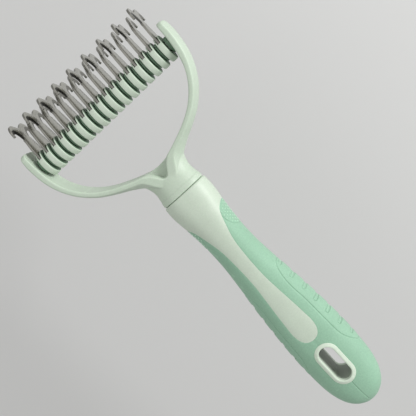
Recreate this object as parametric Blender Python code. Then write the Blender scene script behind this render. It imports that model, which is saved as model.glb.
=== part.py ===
"""Two-sided dematting comb, built as separate pieces.

The comb lies on its back: +Z is its front, the handle runs along +Y and the
teeth point to -Y.  X runs along the tooth bar.  Lengths are in millimetres
and are turned into metres by MM.  A place on the comb is given by x, by s
(distance from the tooth tips towards the handle end) and by a (height above
the comb's middle plane).
"""
import math

import bmesh
import bpy
from mathutils import Vector

MM = 0.001

# ---------------------------------------------------------------- whole comb
LENGTH = 203.2            # tooth tips to handle end
S_TIP = -0.2              # the highest point of a hook, in s
MID_Z = 11.0              # height of the middle plane over the rest plane
GAP = 0.3                 # clearance between neighbouring pieces
SMOOTH_ANGLE = 32         # degrees; steeper edges stay sharp

# ----------------------------------------------------------------- tooth bar
TEETH = 17
PITCH = 4.7               # tooth to tooth along the bar
AXLE_S = 22.5             # axle centre
AXLE_W = 4.0              # square axle, across flats
AXLE_HALF = 43.3          # half length of the axle
AXLE_BEVEL = 0.35
BORE_HALF = AXLE_W / 2 + GAP   # half width of every square hole for the axle

CARRIER_R = 6.6
CARRIER_W = 3.0
CARRIER_EDGE = 0.55       # chamfer of the carrier's rim
CARRIER_SIDES = 20
SLOT_R = 5.95             # slot in the carrier for a blade's root
SLOT_W = 1.7
SLOT_REACH = 9.0          # how far the slot's cutter runs towards the tips

SPACER_FLANGE_R = 4.75    # middle flange
SPACER_FLANGE_W = 0.75
SPACER_HUB_R = 4.0
SPACER_W = 1.2
SPACER_SIDES = 12
END_SPACER_W = 1.5        # end spacer next to an arm
END_SPACE_X = 41.5        # outer limit of the space the end spacer is centred in

# -------------------------------------------------------------------- blades
BLADE_T = 1.0             # blade thickness
ROOT_R = 5.3              # round root of a blade
ROOT_STEPS = 10           # parts in the half circle of a root or its slot
SPLINE_STEPS = 2          # parts per span of a curved blade edge
STEM_S = 10.0             # from this s on, a blade's edges are nearly straight
BACK_HOOK_A = -6.7        # a one-hook blade keeps the hook behind this height

# One side of a blade with a hook, (a, s): the outside edge from the middle
# out to the point, then the inside edge from the point to the root.
HOOK_OUTSIDE = [
    (0.0, 1.9), (2.2, 1.2), (4.6, 0.15), (6.6, -0.2), (9.1, 0.8), (10.7, 3.0),
    (11.0, 5.7)]
HOOK_INSIDE = [
    (10.2, 5.9), (9.1, 4.6), (7.5, 4.2), (6.0, 5.1), (4.8, 7.1), (4.15, 9.2),
    (4.7, 11.5), (5.2, 13.6), (5.45, 16.5)]
# Front edge of a blade with one hook, (a, s): it sweeps from the hook's crown,
# which lies behind the middle plane, forward to the root.
PLAIN_FRONT = [
    (-6.6, -0.2), (-4.4, 0.6), (-1.8, 2.1), (0.5, 3.8), (2.2, 5.6), (3.5, 7.9),
    (4.25, 10.4), (4.95, 13.0), (5.45, 16.5)]

# ---------------------------------------------------------------------- yoke
ARM_DEPTH = 7.5           # half depth of the arms
ARM_EDGE = 0.5            # chamfer on the inner edges
SOCKET_START = 36.0       # x range of the axle socket's cutter
SOCKET_END = 43.7
WEB_HALF = 3.4            # half thickness of the web in the crotch

# One arm, from its end to the comb's middle: inner face x, s; outer face x, s;
# half depth as a share of ARM_DEPTH; width of the rounded outer side, which
# opens into the scooped sides of the neck.
ARM = [
    (41.9, 12.9, 45.1, 12.9, 0.66, 1.4),
    (41.9, 13.6, 45.5, 13.6, 0.86, 1.4),
    (41.9, 15.2, 45.8, 15.3, 1.0, 1.4),
    (41.8, 19.0, 46.0, 19.5, 1.0, 1.4),
    (41.4, 24.0, 45.5, 25.0, 1.0, 1.4),
    (40.6, 29.0, 44.4, 30.6, 1.0, 1.4),
    (39.2, 34.0, 42.3, 36.2, 1.0, 1.4),
    (36.6, 39.0, 39.0, 41.9, 1.0, 1.4),
    (33.2, 43.4, 34.9, 46.7, 1.0, 1.4),
    (28.5, 47.6, 29.7, 51.1, 1.0, 1.45),
    (22.5, 51.2, 23.3, 54.9, 1.0, 1.6),
    (16.0, 54.0, 16.6, 58.4, 1.0, 2.2),
    (10.0, 56.2, 10.4, 62.5, 1.0, 3.7),
    (5.0, 57.5, 5.4, 67.0, 1.0, 1.6),
    (0.0, 58.0, 0.0, 69.5, 1.0, 1.2)]
# Rounded outer side of the arm's section, front to back: distance in from the
# outer face as a share of the crown width, height as a share of half depth.
CROWN = [
    (1.0, 1.0), (0.55, 0.78), (0.14, 0.4), (0.0, 0.0), (0.14, -0.4),
    (0.55, -0.78), (1.0, -1.0)]

# Crotch pocket, half outlines (x, s) from the side to the middle: on the web
# and at the arms' face.
POCKET_FLOOR = [
    (6.2, 50.0), (6.1, 55.4), (6.0, 56.7), (5.5, 57.5), (4.3, 58.7),
    (3.2, 60.0), (2.3, 61.5), (1.3, 62.9), (0.0, 63.6)]
POCKET_MOUTH = [
    (11.0, 50.0), (10.2, 55.4), (8.4, 56.8), (6.6, 57.9), (5.1, 59.1),
    (3.7, 60.6), (2.5, 62.4), (1.4, 63.7), (0.0, 64.2)]
# Layers of the pocket: height, share of the way from floor to mouth outline.
POCKET_LAYERS = [(WEB_HALF, 0.0), (5.2, 0.32), (ARM_DEPTH, 1.0), (12.0, 1.9)]

# Oval stations: s, half width, half depth, exponent of the superellipse.
NECK = [
    (58.6, 12.8, 6.7, 2.2), (61.0, 12.1, 7.0, 2.2), (64.0, 10.9, 7.5, 2.2),
    (67.0, 10.3, 7.9, 2.3), (70.0, 10.6, 8.4, 2.4), (71.4, 10.8, 8.6, 2.45),
    (71.8, 11.1, 8.85, 2.5), (73.4, 11.2, 8.95, 2.5), (74.2, 10.95, 8.7, 2.5)]
TANG = [
    (70.0, 6.4, 4.7, 5.0), (75.5, 6.4, 4.7, 5.0), (78.0, 5.4, 4.0, 5.0),
    (104.5, 4.9, 3.6, 5.0), (106.0, 4.3, 3.0, 5.0)]
# The core's socket for the tang, before GAP is added all round.
TANG_SOCKET = [
    (70.0, 6.4, 4.7, 5.0), (75.8, 6.4, 4.7, 5.0), (78.4, 5.4, 4.0, 5.0),
    (107.0, 4.9, 3.6, 5.0)]
NECK_SIDES = 28
TANG_SIDES = 16

# -------------------------------------------------------------------- handle
HANDLE = [                # oval stations, as above
    (74.5, 11.3, 9.0, 2.5), (75.4, 11.7, 9.3, 2.5), (79.0, 11.8, 9.4, 2.5),
    (84.0, 11.5, 9.4, 2.4), (90.0, 10.6, 9.3, 2.4), (97.0, 10.0, 9.2, 2.3),
    (105.0, 9.8, 9.2, 2.3), (113.0, 10.0, 9.3, 2.3), (121.0, 10.7, 9.4, 2.3),
    (130.0, 11.7, 9.5, 2.3), (139.0, 12.7, 9.7, 2.3), (148.0, 13.5, 9.8, 2.3),
    (158.0, 14.2, 9.9, 2.3), (168.0, 14.6, 10.0, 2.3), (178.0, 14.5, 10.0, 2.3),
    (186.0, 13.9, 9.8, 2.3), (192.0, 12.6, 9.3, 2.3), (196.5, 10.7, 8.4, 2.3),
    (199.8, 8.2, 6.9, 2.2), (202.0, 5.2, 4.7, 2.1), (203.0, 2.7, 2.5, 2.0)]
CORE_STATIONS = HANDLE[3:-2]     # length of the core under the grip
HOLLOW_STATIONS = HANDLE[2:-2]   # length of the hollow in the grip
HANDLE_SIDES = 32
INNER_SIDES = 24
CORE_INSET = 2.0          # depth of the grip's hollow below the surface

# Pale tongue of the core, half outline (x, s) from the side to its round end.
TONGUE_SIDE = 20.0        # x beyond the handle's side
TONGUE_START = 60.0       # s before the handle's start
TONGUE_REACH = 14.0
TONGUE = [
    (TONGUE_SIDE, 86.6), (12.2, 86.7), (9.7, 88.7), (7.7, 91.4), (5.9, 97.2),
    (4.2, 104.0), (3.5, 111.0), (3.2, 119.0), (3.3, 127.0), (4.0, 135.0),
    (4.8, 143.0), (5.4, 150.0), (5.7, 154.6), (5.2, 158.2), (3.9, 160.6),
    (2.1, 161.8), (0.0, 162.2)]

LANYARD_S = 176.9         # lanyard slot centre
LANYARD_HALF_W = 3.9
LANYARD_HALF_L = 9.2
LANYARD_ARC_STEPS = 7     # parts in each round end
LANYARD_REACH = 15.0      # half height of the cutters through the handle
RIM = 1.9                 # width of the rim round the slot
RIM_TOP = 10.4            # height of the rim's flat face

PIN_S = 97.0
PIN_R = 1.25
PIN_HALF = 6.9            # half length of the pin
PIN_HOLE_HALF = 12.0
PIN_SIDES = 16

MATERIALS = {
    "sage_plastic": dict(colour=(0.56, 0.68, 0.58), roughness=0.42, metallic=0.0),
    "sage_plastic_rings": dict(colour=(0.55, 0.68, 0.57), roughness=0.4, metallic=0.0),
    "mint_soft_grip": dict(colour=(0.37, 0.62, 0.46), roughness=0.68, metallic=0.0),
    "stamped_steel": dict(colour=(0.42, 0.41, 0.38), roughness=0.34, metallic=1.0),
    "bar_steel": dict(colour=(0.50, 0.50, 0.50), roughness=0.3, metallic=1.0),
    "pin_steel": dict(colour=(0.52, 0.52, 0.53), roughness=0.28, metallic=1.0),
    "sage_spacer": dict(colour=(0.30, 0.42, 0.32), roughness=0.5, metallic=0.0),
}


# ------------------------------------------------------- objects and materials
def make_material(name, colour, roughness, metallic):
    mat = bpy.data.materials.new(name)
    mat.use_nodes = True
    shader = mat.node_tree.nodes["Principled BSDF"]
    shader.inputs["Base Color"].default_value = (*colour, 1.0)
    shader.inputs["Roughness"].default_value = roughness
    shader.inputs["Metallic"].default_value = metallic
    mat.diffuse_color = (*colour, 1.0)
    return mat


def new_object(name, mesh):
    obj = bpy.data.objects.new(name, mesh)
    bpy.context.scene.collection.objects.link(obj)
    return obj


def dress(mesh, mat, smooth=True):
    """Give a mesh its only material and, if wanted, smooth shading."""
    mesh.materials.clear()
    mesh.materials.append(mat)
    if smooth:
        mesh.shade_smooth()
        mesh.set_sharp_from_angle(angle=math.radians(SMOOTH_ANGLE))


def cut(obj, mesh, operation="DIFFERENCE"):
    """Boolean obj with a tool mesh and keep the result as obj's mesh."""
    tool = new_object("tool", mesh)
    mod = obj.modifiers.new("cut", "BOOLEAN")
    mod.operation = operation
    mod.solver = "EXACT"
    mod.object = tool
    bpy.context.view_layer.update()
    graph = bpy.context.evaluated_depsgraph_get()
    result = bpy.data.meshes.new_from_object(obj.evaluated_get(graph))
    old = obj.data
    obj.modifiers.clear()
    obj.data = result
    bpy.data.meshes.remove(old)
    bpy.data.objects.remove(tool)
    bpy.data.meshes.remove(mesh)


# -------------------------------------------------------------- mesh building
def place(x, s, a):
    """A point in millimetres on the comb, as metres in the world."""
    return Vector((x * MM, (s - LENGTH / 2 - S_TIP) * MM, (a + MID_Z) * MM))


def local(x, y, z):
    """A point in millimetres from the axle's centre, as metres."""
    return Vector((x * MM, y * MM, z * MM))


def sides(ring):
    """Neighbouring pairs round a closed ring."""
    return zip(ring, ring[1:] + ring[:1])


def skin(bm, low, high):
    """Join two rings with a band of quads."""
    for (low_a, low_b), (high_a, high_b) in zip(sides(low), sides(high)):
        bm.faces.new((low_a, low_b, high_b, high_a))


def finish_mesh(bm, name):
    """Turn all faces outwards and store the mesh."""
    bmesh.ops.recalc_face_normals(bm, faces=bm.faces)
    if bm.calc_volume(signed=True) < 0:
        bmesh.ops.reverse_faces(bm, faces=bm.faces)
    mesh = bpy.data.meshes.new(name)
    bm.to_mesh(mesh)
    bm.free()
    return mesh


def loft(name, loops):
    """Skin a list of closed loops, with a flat cap on each end."""
    bm = bmesh.new()
    rings = [[bm.verts.new(point) for point in loop] for loop in loops]
    for low, high in zip(rings, rings[1:]):
        skin(bm, low, high)
    bm.faces.new(rings[0][::-1])
    bm.faces.new(rings[-1])
    return finish_mesh(bm, name)


def prism(name, outline, low, high):
    """An outline in (x, s), raised from height low to height high."""
    return loft(name, [[place(x, s, a) for x, s in outline] for a in (low, high)])


def square_bar(name, start, end, half):
    """A square bar on the axle's line, from x = start to x = end."""
    near, far = AXLE_S - half, AXLE_S + half
    outline = [(start, near), (end, near), (end, far), (start, far)]
    return prism(name, outline, -half, half)


def mirrored(half):
    """Close a half outline given from the side to the middle (x = 0)."""
    return half + [(-x, s) for x, s in reversed(half) if x > 1e-6]


def oval(half_w, half_d, power, count):
    """Superellipse points (x, a), set half a step off the axes."""
    points = []
    for i in range(count):
        angle = 2 * math.pi * (i + 0.5) / count
        cos, sin = math.cos(angle), math.sin(angle)
        points.append((half_w * math.copysign(abs(cos) ** (2 / power), cos),
                       half_d * math.copysign(abs(sin) ** (2 / power), sin)))
    return points


def oval_loft(name, stations, count, grow=0.0):
    """Loft through oval stations, each made larger all round by grow."""
    return loft(name, [
        [place(x, s, a) for x, a in oval(half_w + grow, half_d + grow, power, count)]
        for s, half_w, half_d, power in stations])


def spline(points):
    """Catmull-Rom curve through the points, with straight run-outs."""
    def beyond(end, inner):
        return tuple(2 * e - i for e, i in zip(end, inner))

    padded = [beyond(points[0], points[1]), *points, beyond(points[-1], points[-2])]
    curve = []
    for span in zip(padded, padded[1:], padded[2:], padded[3:]):
        for k in range(SPLINE_STEPS):
            t = k / SPLINE_STEPS
            curve.append(tuple(
                0.5 * (2 * p1 + (p2 - p0) * t
                       + (2 * p0 - 5 * p1 + 4 * p2 - p3) * t * t
                       + (3 * p1 - p0 - 3 * p2 + p3) * t ** 3)
                for p0, p1, p2, p3 in zip(*span)))
    curve.append(points[-1])
    return curve


# -------------------------------------------------------- pieces on the axle
# These are modelled about the axle, with x along the bar, y along the comb
# (towards the handle) and z to the front, and are then placed on the bar.
def half_circle(radius):
    """Points (z, y) of the half circle on the handle side of the axle."""
    angles = [math.pi * k / ROOT_STEPS for k in range(ROOT_STEPS + 1)]
    return [(radius * math.cos(t), radius * math.sin(t)) for t in angles]


def bore_ring(bm, x):
    """The four corners of the axle's hole."""
    return [bm.verts.new(local(x, y * BORE_HALF, z * BORE_HALF))
            for y, z in ((1, 1), (-1, 1), (-1, -1), (1, -1))]


def cap_round_bore(bm, outer, bore):
    """Fill the flat end between an outer ring and the bore."""
    edges = [bm.edges.get(pair) or bm.edges.new(pair)
             for ring in (outer, bore) for pair in sides(ring)]
    bmesh.ops.triangle_fill(bm, use_beauty=True, use_dissolve=False, edges=edges)


def blade_edge(points):
    """Curve the head of an edge; leave the stem as given."""
    return [p for p in spline(points) if p[1] < STEM_S or p in points]


def blade_outline(two_hooks):
    """Closed outline (z, y) of a blade."""
    hook = spline(HOOK_OUTSIDE) + blade_edge(HOOK_INSIDE)
    front = hook if two_hooks else blade_edge(PLAIN_FRONT)
    front = [(a, s - AXLE_S) for a, s in front]
    back = [(-a, s - AXLE_S) for a, s in hook]
    if two_hooks:
        back = back[1:]   # the middle point is already in the front edge
    else:
        # Only the hook stays: one straight line joins its inside to the root.
        back = [p for p in back if p[0] < BACK_HOOK_A]
    return front + half_circle(ROOT_R) + back[::-1]


def blade_mesh(name, two_hooks):
    outline = blade_outline(two_hooks)
    bm = bmesh.new()
    outers, bores = [], []
    for x in (-BLADE_T / 2, BLADE_T / 2):
        outers.append([bm.verts.new(local(x, y, z)) for z, y in outline])
        bores.append(bore_ring(bm, x))
        cap_round_bore(bm, outers[-1], bores[-1])
    skin(bm, *outers)
    skin(bm, *bores)
    return finish_mesh(bm, name)


def turned(name, profile, count):
    """Turn (x, radius) round the bar's axis, with a square bore."""
    bm = bmesh.new()
    angles = [2 * math.pi * i / count for i in range(count)]
    rings = [[bm.verts.new(local(x, radius * math.cos(t), radius * math.sin(t)))
              for t in angles] for x, radius in profile]
    bores = [bore_ring(bm, profile[end][0]) for end in (0, -1)]
    for low, high in zip(rings, rings[1:]):
        skin(bm, low, high)
    skin(bm, bores[1], bores[0])
    cap_round_bore(bm, rings[0], bores[0])
    cap_round_bore(bm, rings[-1], bores[1])
    return finish_mesh(bm, name)


def carrier_mesh():
    """A ring with a slot, open towards the tips, for a blade's root."""
    half, edge = CARRIER_W / 2, CARRIER_EDGE
    profile = [(-half, CARRIER_R - edge), (-half + edge, CARRIER_R),
               (half - edge, CARRIER_R), (half, CARRIER_R - edge)]
    obj = new_object("blade_carrier", turned("blade_carrier", profile, CARRIER_SIDES))
    outline = half_circle(SLOT_R) + [(-SLOT_R, -SLOT_REACH), (SLOT_R, -SLOT_REACH)]
    cut(obj, loft("slot", [[local(x, y, z) for z, y in outline]
                           for x in (-SLOT_W / 2, SLOT_W / 2)]))
    mesh = obj.data
    bpy.data.objects.remove(obj)
    return mesh


def spacer_mesh():
    """A collar with a flange round its middle."""
    half, flange = SPACER_W / 2, SPACER_FLANGE_W / 2
    profile = [(-half, SPACER_HUB_R), (-flange, SPACER_HUB_R),
               (-flange, SPACER_FLANGE_R), (flange, SPACER_FLANGE_R),
               (flange, SPACER_HUB_R), (half, SPACER_HUB_R)]
    return turned("spacer", profile, SPACER_SIDES)


def end_spacer_mesh():
    half = END_SPACER_W / 2
    return turned("end_spacer", [(-half, SPACER_HUB_R), (half, SPACER_HUB_R)],
                  SPACER_SIDES)


def build_tooth_bar(materials):
    """Blades, carriers and spacers, from the +X end to the -X end."""
    bar = new_object("tooth_bar", None)
    bar.location = place(0.0, AXLE_S, 0.0)

    double = blade_mesh("blade_double", True)
    single = blade_mesh("blade_single", False)
    carrier = carrier_mesh()
    spacer = spacer_mesh()
    end_spacer = end_spacer_mesh()
    dress(double, materials["stamped_steel"], smooth=False)
    dress(single, materials["stamped_steel"], smooth=False)
    dress(carrier, materials["sage_plastic_rings"])
    dress(spacer, materials["sage_spacer"])
    dress(end_spacer, materials["sage_spacer"])

    def on_bar(name, mesh, x):
        obj = new_object(name, mesh)
        obj.parent = bar
        obj.location = (x * MM, 0.0, 0.0)

    for k in range(1, TEETH + 1):
        x = ((TEETH + 1) / 2 - k) * PITCH
        on_bar(f"blade_{k:02d}", double if k % 2 else single, x)
        on_bar(f"blade_carrier_{k:02d}", carrier, x)
        if k < TEETH:
            on_bar(f"spacer_{k:02d}", spacer, x - PITCH / 2)
    last_carrier_face = (TEETH - 1) / 2 * PITCH + CARRIER_W / 2
    end_x = (last_carrier_face + END_SPACE_X) / 2
    on_bar("end_spacer_right", end_spacer, end_x)
    on_bar("end_spacer_left", end_spacer, -end_x)


def build_axle(mat):
    mesh = square_bar("axle_bar", -AXLE_HALF, AXLE_HALF, AXLE_W / 2)
    dress(mesh, mat, smooth=False)
    bevel = new_object("axle_bar", mesh).modifiers.new("edges", "BEVEL")
    bevel.width = AXLE_BEVEL * MM
    bevel.segments = 1
    bevel.limit_method = "ANGLE"


# ---------------------------------------------------------------------- yoke
def arms_mesh():
    """Both arms as one bar, swept from the +X end to the -X end."""
    other_arm = [(-in_x, in_s, -out_x, out_s, share, crown)
                 for in_x, in_s, out_x, out_s, share, crown in reversed(ARM[:-1])]
    loops = []
    for in_x, in_s, out_x, out_s, share, crown in ARM + other_arm:
        width = math.hypot(out_x - in_x, out_s - in_s)
        step_x, step_s = (out_x - in_x) / width, (out_s - in_s) / width
        half = ARM_DEPTH * share
        # section points: distance from the inner face, height
        section = [(ARM_EDGE, -half), (0.0, -half + ARM_EDGE),
                   (0.0, half - ARM_EDGE), (ARM_EDGE, half)]
        section += [(width - crown * inward, half * height) for inward, height in CROWN]
        loops.append([place(in_x + step_x * u, in_s + step_s * u, a)
                      for u, a in section])
    return loft("yoke_frame", loops)


def pocket_mesh(side):
    """Cutter for the crotch pocket on the front (1) or the back (-1)."""
    loops = []
    for height, share in POCKET_LAYERS:
        half = [(x0 + (x1 - x0) * share, s0 + (s1 - s0) * share)
                for (x0, s0), (x1, s1) in zip(POCKET_FLOOR, POCKET_MOUTH)]
        loops.append([place(x, s, side * height) for x, s in mirrored(half)])
    return loft("pocket", loops)


def pin_mesh(name, radius, half):
    """A round pin across the handle at PIN_S."""
    angles = [2 * math.pi * k / PIN_SIDES for k in range(PIN_SIDES)]
    return loft(name, [[place(x, PIN_S + radius * math.cos(t), radius * math.sin(t))
                        for t in angles] for x in (-half, half)])


def pin_hole_mesh():
    return pin_mesh("pin_hole", PIN_R + GAP, PIN_HOLE_HALF)


def build_yoke(mat):
    """The two arms, the neck, the web and the tang."""
    obj = new_object("yoke_frame", arms_mesh())
    cut(obj, oval_loft("neck", NECK, NECK_SIDES), "UNION")
    for side in (1, -1):
        cut(obj, pocket_mesh(side))
    cut(obj, oval_loft("tang", TANG, TANG_SIDES), "UNION")
    for start, end in ((-SOCKET_END, -SOCKET_START), (SOCKET_START, SOCKET_END)):
        cut(obj, square_bar("socket", start, end, BORE_HALF))
    cut(obj, pin_hole_mesh())
    dress(obj.data, mat)


# -------------------------------------------------------------------- handle
def tongue_mesh(grow):
    """The core's visible region as a prism through the handle."""
    half = [(x + (grow if 0 < x < TONGUE_SIDE else 0.0), s + grow) for x, s in TONGUE]
    outline = mirrored([(TONGUE_SIDE, TONGUE_START)] + half)
    return prism("tongue", outline, -TONGUE_REACH, TONGUE_REACH)


def lanyard_mesh(name, grow, reach):
    """A round-ended block at the lanyard slot, larger all round by grow."""
    radius = LANYARD_HALF_W + grow
    run = LANYARD_HALF_L + grow - radius
    outline = []
    for sign, start in ((1, 0.0), (-1, math.pi)):
        for k in range(LANYARD_ARC_STEPS + 1):
            angle = start + math.pi * k / LANYARD_ARC_STEPS
            outline.append((radius * math.cos(angle),
                            LANYARD_S + sign * run + radius * math.sin(angle)))
    return prism(name, outline, -reach, reach)


def build_core(mat):
    """The tongue, the body under the grip and the rim of the lanyard slot."""
    obj = new_object("handle_core", oval_loft("handle_core", HANDLE, HANDLE_SIDES))
    cut(obj, tongue_mesh(0.0), "INTERSECT")
    under = oval_loft("under", CORE_STATIONS, INNER_SIDES, grow=-(CORE_INSET + GAP))
    cut(obj, under, "UNION")
    cut(obj, lanyard_mesh("rim", RIM, RIM_TOP), "UNION")
    cut(obj, lanyard_mesh("slot", 0.0, LANYARD_REACH))
    cut(obj, oval_loft("socket", TANG_SOCKET, TANG_SIDES, grow=GAP))
    cut(obj, pin_hole_mesh())
    dress(obj.data, mat)


def build_grip(mat):
    """The soft sleeve, open round the tongue and the rim."""
    obj = new_object("grip_sleeve", oval_loft("grip_sleeve", HANDLE, HANDLE_SIDES))
    cut(obj, tongue_mesh(GAP))
    cut(obj, oval_loft("under", HOLLOW_STATIONS, INNER_SIDES, grow=-CORE_INSET))
    cut(obj, lanyard_mesh("rim", RIM + GAP, LANYARD_REACH))
    dress(obj.data, mat)


def build_pin(mat):
    mesh = pin_mesh("neck_pin", PIN_R, PIN_HALF)
    dress(mesh, mat)
    new_object("neck_pin", mesh)


def build():
    for obj in list(bpy.data.objects):
        bpy.data.objects.remove(obj)
    materials = {name: make_material(name, **look) for name, look in MATERIALS.items()}
    build_yoke(materials["sage_plastic"])
    build_tooth_bar(materials)
    build_axle(materials["bar_steel"])
    build_core(materials["sage_plastic"])
    build_grip(materials["mint_soft_grip"])
    build_pin(materials["pin_steel"])


build()
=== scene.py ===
# Two-sided dematting comb: fine meshes and procedural materials on the packed
# frame.  Lengths are millimetres in the comb's own axes: x runs along the axle,
# y from the tooth tips towards the handle end, z through the thickness from
# the middle plane, with +z the front.  place() turns a point into the frame's
# metres.
import math
from bisect import bisect

import bmesh
import bpy
from mathutils import Matrix, Vector
from mathutils.kdtree import KDTree


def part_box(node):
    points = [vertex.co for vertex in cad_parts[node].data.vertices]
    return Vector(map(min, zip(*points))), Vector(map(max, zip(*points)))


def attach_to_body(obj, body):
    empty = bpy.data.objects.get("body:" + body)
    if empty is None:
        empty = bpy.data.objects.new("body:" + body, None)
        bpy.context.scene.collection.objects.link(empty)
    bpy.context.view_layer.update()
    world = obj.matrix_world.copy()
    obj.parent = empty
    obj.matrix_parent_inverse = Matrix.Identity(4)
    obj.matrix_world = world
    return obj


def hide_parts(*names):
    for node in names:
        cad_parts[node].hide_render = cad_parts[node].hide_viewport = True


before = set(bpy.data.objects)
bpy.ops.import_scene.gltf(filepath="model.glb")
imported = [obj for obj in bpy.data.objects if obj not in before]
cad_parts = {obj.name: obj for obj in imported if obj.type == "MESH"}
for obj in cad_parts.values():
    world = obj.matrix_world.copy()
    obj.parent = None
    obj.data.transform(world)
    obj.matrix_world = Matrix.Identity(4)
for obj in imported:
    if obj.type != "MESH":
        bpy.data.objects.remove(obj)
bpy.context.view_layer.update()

MM = 0.001

# ---------------------------------------------------------------- dimensions
AXLE_LOW, AXLE_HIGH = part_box("axle_bar")
FRAME_MID_Z = (AXLE_LOW[2] + AXLE_HIGH[2]) / 2
FRAME_AXLE_Y = (AXLE_LOW[1] + AXLE_HIGH[1]) / 2
# names ending in _AT are places on the comb's y
AXLE_AT = 22.5
BORE = 2.3                  # half side of the square bar hole
FIT_GAP = 0.3               # clearance round the tang and the pin

BLADE_THICK = 1.0
BLADE_ROOT_R = 5.3
EDGE_THICK_HALF = 0.06      # half thickness of a fully ground edge
CARRIER_R = 6.6
CARRIER_WIDE = 3.0
CARRIER_SLOT_R = 5.95
CARRIER_SLOT_WIDE = 1.7
SPACER_R = 4.0
FLANGE_R = 4.75
FLANGE_HALF = 0.375

ARM_DEPTH = 7.5             # half the arms' thickness in z
ARM_EDGE = 0.5
WEB_HALF = 3.4              # half thickness of the web left between the pockets
COLLAR_AT = 71.6
COLLAR_HALF_W = 11.2
COLLAR_HALF_D = 8.85
PIN_AT = 97.0
PIN_R = 1.25
TANG_END = 106.0

CORE_GROOVE_AT = 82.5
SLOT_AT = 176.9             # middle of the long slot through the handle
SLOT_HALF_W = 3.9
SLOT_HALF_L = 9.2
SLOT_RUN = SLOT_HALF_L - SLOT_HALF_W
RIM = 1.9                   # width of the raised rim round the slot
RIM_TOP = 10.4
RIM_GAP = 0.04              # between the rim and the grip
GRIP_WALL = 1.3

# blade outlines, (z, y): a hook's outer and inner line, and the hookless edge
HOOK_OUT = [(0.0, 1.9), (2.2, 1.2), (4.6, 0.15), (6.6, -0.2), (9.1, 0.8),
            (10.7, 3.0), (11.0, 5.7)]
HOOK_IN = [(10.2, 5.9), (9.1, 4.6), (7.5, 4.2), (6.0, 5.1), (4.8, 7.1),
           (4.15, 9.2), (4.7, 11.5), (5.2, 13.6), (5.45, 16.5)]
PLAIN_EDGE = [(-6.6, -0.2), (-4.4, 0.6), (-1.8, 2.1), (0.5, 3.8), (2.2, 5.6),
              (3.5, 7.9), (4.25, 10.4), (4.95, 13.0), (5.45, 16.5)]

# inner and outer line of the +x yoke arm, (x, y), from the tip to the middle
ARM_IN = [(41.9, 12.9), (41.9, 13.6), (41.9, 15.2), (41.8, 19.0), (41.4, 24.0),
          (40.6, 29.0), (39.2, 34.0), (36.6, 39.0), (33.2, 43.4),
          (28.5, 47.6), (22.5, 51.2), (16.0, 54.0), (10.0, 56.2), (5.0, 57.5),
          (0.0, 58.0)]
ARM_OUT = [(45.1, 12.9), (45.5, 13.6), (45.8, 15.3), (46.0, 19.5),
           (45.5, 25.0), (44.4, 30.6), (42.3, 36.2), (39.0, 41.9),
           (34.9, 46.7), (29.7, 51.1), (23.3, 54.9), (16.6, 58.4),
           (10.4, 62.5), (5.4, 67.0), (0.0, 69.5)]
# for the same stations: share of ARM_DEPTH, and width of the rounded outer side
ARM_TALL = [0.66, 0.86] + [1.0] * 13
ARM_SIDE = [1.4] * 9 + [1.45, 1.6, 2.2, 3.7, 1.6, 1.2]

# sections: y, half width, half depth, exponent of the super-ellipse
NECK = [(58.6, 12.8, 6.7, 2.2), (61.0, 12.1, 7.0, 2.2), (64.0, 10.9, 7.5, 2.2),
        (67.0, 10.3, 7.9, 2.3), (70.0, 10.6, 8.4, 2.4), (71.6, 10.85, 8.6, 2.45),
        (73.4, 11.0, 8.75, 2.5), (74.0, 10.95, 8.7, 2.5), (74.25, 10.7, 8.4, 2.5)]
TANG = [(70.0, 6.4, 4.7, 5.0), (75.5, 6.4, 4.7, 5.0), (78.0, 5.4, 4.0, 5.0),
        (TANG_END - 1.5, 4.9, 3.6, 5.0), (TANG_END, 4.3, 3.0, 5.0)]
TANG_SOCKET = [(y, wide + FIT_GAP, deep + FIT_GAP, 5.0) for y, wide, deep in (
    (70.0, 6.4, 4.7), (75.8, 6.4, 4.7), (78.4, 5.4, 4.0), (TANG_END + 1, 4.9, 3.6))]
HANDLE = [(74.4, 10.9, 8.6, 2.5), (74.7, 11.35, 9.0, 2.5),
          (75.4, 11.7, 9.3, 2.5), (79.0, 11.8, 9.4, 2.5),
          (84.0, 11.5, 9.4, 2.4), (90.0, 10.6, 9.3, 2.4), (97.0, 10.0, 9.2, 2.3),
          (105.0, 9.8, 9.2, 2.3), (113.0, 10.0, 9.3, 2.3),
          (121.0, 10.7, 9.4, 2.3), (130.0, 11.7, 9.5, 2.3),
          (139.0, 12.7, 9.7, 2.3), (148.0, 13.5, 9.8, 2.3),
          (158.0, 14.2, 9.9, 2.3), (168.0, 14.6, 10.0, 2.3),
          (178.0, 14.5, 10.0, 2.3), (186.0, 13.9, 9.8, 2.3),
          (192.0, 12.6, 9.3, 2.3), (196.5, 10.7, 8.4, 2.3),
          (199.8, 8.2, 6.9, 2.2), (202.0, 5.2, 4.7, 2.1),
          (202.85, 3.0, 2.8, 2.0), (203.15, 1.2, 1.1, 2.0), (203.2, 0.0, 0.0, 2.0)]
HANDLE_END = HANDLE[-1][0]

# half outlines, (x, y): the yoke's pockets, and the core's tongue
POCKET_FLOOR = [(6.2, 50.0), (6.1, 55.4), (6.0, 56.7), (5.5, 57.5), (4.3, 58.7),
                (3.2, 60.0), (2.3, 61.5), (1.3, 62.9), (0.0, 63.6)]
POCKET_MOUTH = [(11.0, 50.0), (10.2, 55.4), (8.4, 56.8), (6.6, 57.9), (5.1, 59.1),
                (3.7, 60.6), (2.5, 62.4), (1.4, 63.7), (0.0, 64.2)]
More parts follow.
